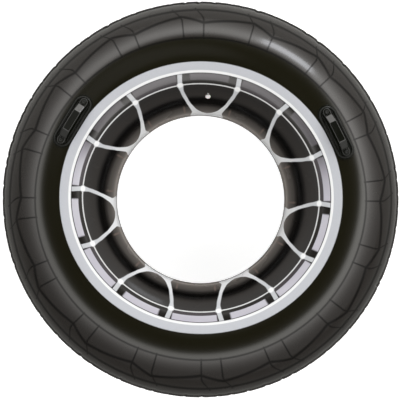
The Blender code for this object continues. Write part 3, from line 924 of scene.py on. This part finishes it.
# The stem's barb at the bottom keeps it from being pulled out of the flange.
bore, stem_radius, lip_radius, barb_radius = 0.0036, 0.0052, 0.0072, 0.0062
lip_low, lip_high, barb_top, stem_end = 0.0007, 0.0017, -0.016, -0.018
stem = turned_piece(
    "stem",
    [
        (bore, lip_high - 0.0002),
        (bore + 0.0003, lip_high),
        (lip_radius - 0.0005, lip_high),
        (lip_radius, lip_high - 0.0004),
        (lip_radius - 0.0001, lip_low),
        (stem_radius, lip_low - 0.0001),
        (stem_radius, barb_top + 0.001),
        (barb_radius, barb_top),
        (barb_radius, stem_end),
        (bore, stem_end),
        (bore, lip_high - 0.0002),
    ],
    valve_place,
)
stem.data.materials.append(clear_vinyl)
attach(stem, "stem")
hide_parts("valve_stem")

cap_radius, cap_low, cap_high, dish_depth = 0.0065, 0.0020, 0.0036, 0.0004
plug_root, plug_radius, plug_end = 0.0032, 0.0026, -0.0030
cap = turned_piece(
    "stopper",
    [
        (0.0, cap_high - dish_depth),
        (0.0034, cap_high - dish_depth),
        (0.0040, cap_high),
        (cap_radius - 0.0007, cap_high),
        (cap_radius - 0.0002, cap_high - 0.0003),
        (cap_radius, cap_high - 0.0008),
        (cap_radius - 0.0002, cap_low + 0.0002),
        (cap_radius - 0.0008, cap_low),
        (plug_root, cap_low),
        (plug_radius, plug_end + 0.0002),
        (plug_radius - 0.0004, plug_end),
        (0.0, plug_end),
    ],
    valve_place,
)
cap.data.materials.append(white_vinyl)
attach(cap, "cap")
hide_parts("valve_cap")

for node, vinyl in (
    ("cap_tether", shaded_tether_vinyl),
    ("valve_flange", clear_vinyl),
    ("check_flap", clear_vinyl),
):
    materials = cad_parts[node].data.materials
    materials.clear()
    materials.append(vinyl)


# ---- Studio --------------------------------------------------------------------------
# A pale floor under a tent of light. The tent glows most round a dark opening that it has
# a little off the top, and one small box at the upper right puts a gleam on the shoulder.

floor_mesh = bpy.data.meshes.new("floor")
floor_bm = bmesh.new()
bmesh.ops.create_grid(floor_bm, x_segments=8, y_segments=8, size=9.0)
floor_bm.to_mesh(floor_mesh)
floor_bm.free()
floor = bpy.data.objects.new("floor", floor_mesh)
bpy.context.scene.collection.objects.link(floor)
floor_paint, floor_tree, floor_shader = new_finish("floor_paint", 0.9)
seen = floor_tree.nodes.new("ShaderNodeLightPath").outputs["Is Camera Ray"]
floor_point = floor_tree.nodes.new("ShaderNodeTexCoord").outputs["Object"]
floor_place = floor_tree.nodes.new("ShaderNodeSeparateXYZ")
floor_tree.links.new(floor_point, floor_place.inputs[0])
# The floor that is seen is paler than the one that lights the ring from below. That one is painted
# dark, and darker towards -Y, as painted shade for the ring's own shadow on the floor that the ring
# reflects.
floor_shade_minus_y, floor_shade_plus_y, floor_seen = (0.16, 0.16, 0.155), (0.42, 0.42, 0.41), (0.60, 0.60, 0.60)
floor_glow = 0.85
floor_side = ramp(floor_tree, floor_place.outputs["Y"], -1.2, 1.2)
floor_tone = tinted(floor_tree, floor_shade_minus_y, floor_shade_plus_y, floor_side)
floor_colour = tinted(floor_tree, floor_tone, floor_seen, seen)
floor_tree.links.new(floor_colour, floor_shader.inputs["Base Color"])
floor_shader.inputs["Specular IOR Level"].default_value = 0.0
floor_shader.inputs["Emission Color"].default_value = (1.0, 1.0, 1.0, 1.0)
floor_strength = calc(floor_tree, "MULTIPLY", seen, floor_glow)
floor_tree.links.new(floor_strength, floor_shader.inputs["Emission Strength"])
floor_mesh.materials.append(floor_paint)

world = bpy.data.worlds.new("studio")
bpy.context.scene.world = world
world.use_nodes = True
sky_tree = world.node_tree
sky = sky_tree.nodes["Background"]
sky.inputs["Color"].default_value = (1.0, 0.985, 0.96, 1.0)
sky_direction = sky_tree.nodes.new("ShaderNodeTexCoord").outputs["Generated"]


def sky_towards(x, y, z):
    """How much a direction of the sky points the same way as a given one."""
    node = sky_tree.nodes.new("ShaderNodeVectorMath")
    node.operation = "DOT_PRODUCT"
    sky_tree.links.new(sky_direction, node.inputs[0])
    node.inputs[1].default_value = (x, y, z)
    return node.outputs["Value"]


opening_tilt, opening_turn = math.radians(12.6), math.radians(-5.0)
opening = sky_towards(
    math.sin(opening_tilt) * math.sin(opening_turn),
    math.sin(opening_tilt) * math.cos(opening_turn),
    math.cos(opening_tilt),
)
from_opening = calc(sky_tree, "DEGREES", calc(sky_tree, "ARCCOSINE", opening))
glow = curve(
    sky_tree,
    from_opening,
    ((0, 0.07), (29, 0.09), (34, 0.17), (37, 0.38), (40, 1.0), (44, 2.4), (49, 2.95), (57, 2.4),
     (66, 1.5), (76, 0.85), (88, 0.5), (105, 0.4), (180, 0.3)),
    0.0,
    180.0,
    0.0,
    3.0,
)
# A faint patch shows inside the opening, and one side of the tent is brighter.
patch = sky_towards(-0.22, 0.30, 0.927)
glow = calc(sky_tree, "ADD", glow, ramp(sky_tree, patch, 0.94, 0.995, 0.0, 0.22))
brighter_turn, brighter_by, backdrop = math.radians(45), 0.28, 1.1
brighter_side = sky_towards(math.sin(brighter_turn), math.cos(brighter_turn), 0.0)
side_share = calc(sky_tree, "MULTIPLY_ADD", brighter_side, brighter_by, 1.0)
strength = calc(sky_tree, "MULTIPLY", glow, side_share)
sky_seen = sky_tree.nodes.new("ShaderNodeLightPath").outputs["Is Camera Ray"]
strength = calc(sky_tree, "MAXIMUM", strength, calc(sky_tree, "MULTIPLY", sky_seen, backdrop))
sky_tree.links.new(strength, sky.inputs["Strength"])


def softbox(name, azimuth, tilt, distance, size, power):
    """A rectangular light that faces the ring. It is placed by its degrees clockwise from +Y
    and down from straight above."""
    light = bpy.data.lights.new(name, "AREA")
    light.shape = "RECTANGLE"
    light.size, light.size_y = size
    light.energy = power
    light.color = (0.90, 0.93, 1.0)
    lamp = bpy.data.objects.new(name, light)
    bpy.context.scene.collection.objects.link(lamp)
    turn, fall = math.radians(azimuth), math.radians(tilt)
    way = Vector((math.sin(fall) * math.sin(turn), math.sin(fall) * math.cos(turn), math.cos(fall)))
    lamp.location = way * distance
    lamp.rotation_euler = way.to_track_quat("Z", "Y").to_euler()


softbox("hot_box", 27.0, 63.0, 4.0, (1.15, 0.75), 20.0)

camera_data = bpy.data.cameras.new("camera")
camera = bpy.data.objects.new("camera", camera_data)
bpy.context.scene.collection.objects.link(camera)
camera_height, camera_roll, camera_shift = 42.0, math.radians(4.1), (-0.0015, -0.0013)
ring_share = 0.99
seen_half_width = (ring_radius + tube_radius + 0.004) / ring_share
camera_data.angle = 2 * math.atan(seen_half_width / (camera_height - seam_height))
camera_turn = Matrix.Rotation(camera_roll, 4, "Z")
camera.matrix_world = camera_turn @ Matrix.Translation((*camera_shift, camera_height))
bpy.context.scene.camera = camera
bpy.context.scene.view_settings.view_transform = "Standard"
